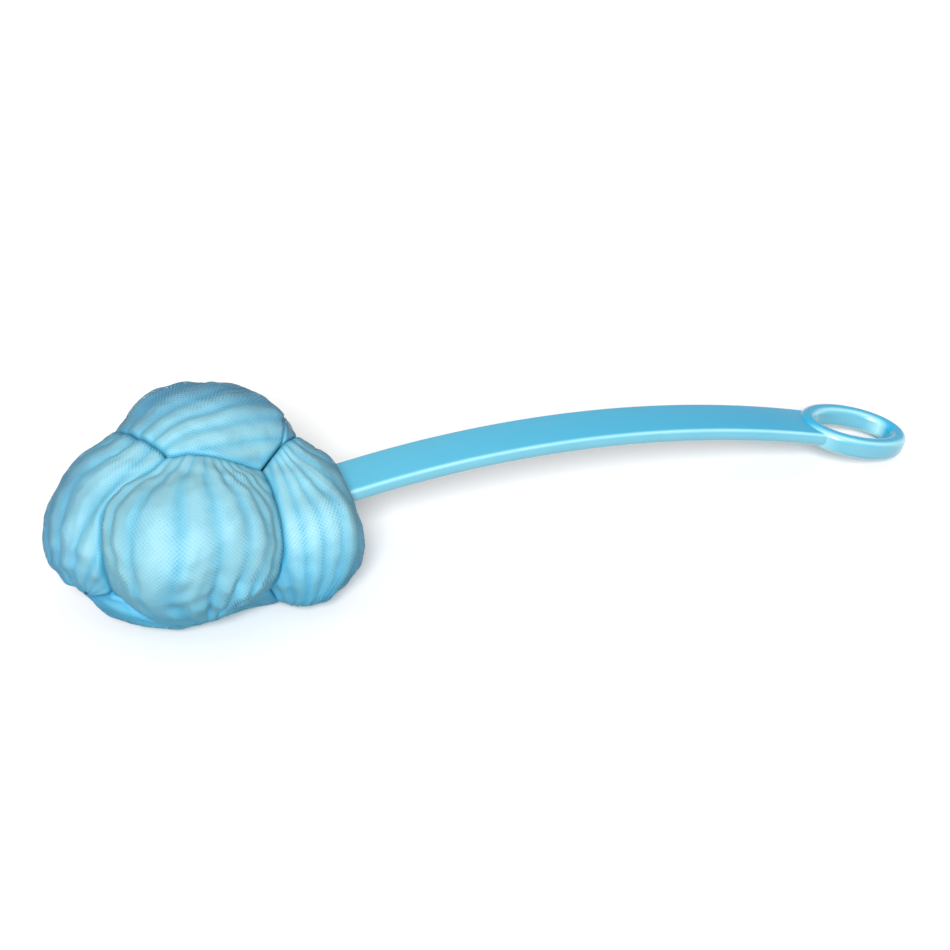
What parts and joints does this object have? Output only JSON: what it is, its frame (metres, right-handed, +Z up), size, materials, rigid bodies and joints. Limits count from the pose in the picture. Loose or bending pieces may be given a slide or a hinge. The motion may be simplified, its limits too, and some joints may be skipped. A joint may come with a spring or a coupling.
{
  "type": "loofah back scrubber",
  "caption": "Gathered netting bath pouf bound to the end of a long, gently curved flat plastic handle with an oval hanging ring, for washing the back.",
  "frame": {"origin": "under the middle of the whole scrubber's box, on the surface that the pouf and the ring lie on", "axes": "+X runs along the handle from the pouf to the hanging ring; +Z is up; the handle bends in the XZ plane"},
  "size_m": [0.3952, 0.116, 0.0831],
  "materials": {
    "handle_plastic": "glossy, slightly translucent cyan moulding",
    "netting": "soft extruded diamond netting in pale aqua, darker blue at its layered rims",
    "cord": "matt braided cord"
  },
  "bodies": {
    "handle": {"handle": "handle_plastic"},
    "pouf": {"binding_cord": "cord", "netting_front": "netting", "netting_left": "netting", "netting_right": "netting", "netting_right_back": "netting", "netting_top": "netting", "netting_top_right": "netting", "netting_back": "netting", "netting_bottom": "netting"}
  },
  "joints": [
    {"name": "pouf_twist", "type": "hinge", "parent": "handle", "child": "pouf", "pos_m": [-0.12905, 0, 0.03063], "axis": [0.9928, 0, 0.1201], "range_deg": [-30, 30]}
  ]
}
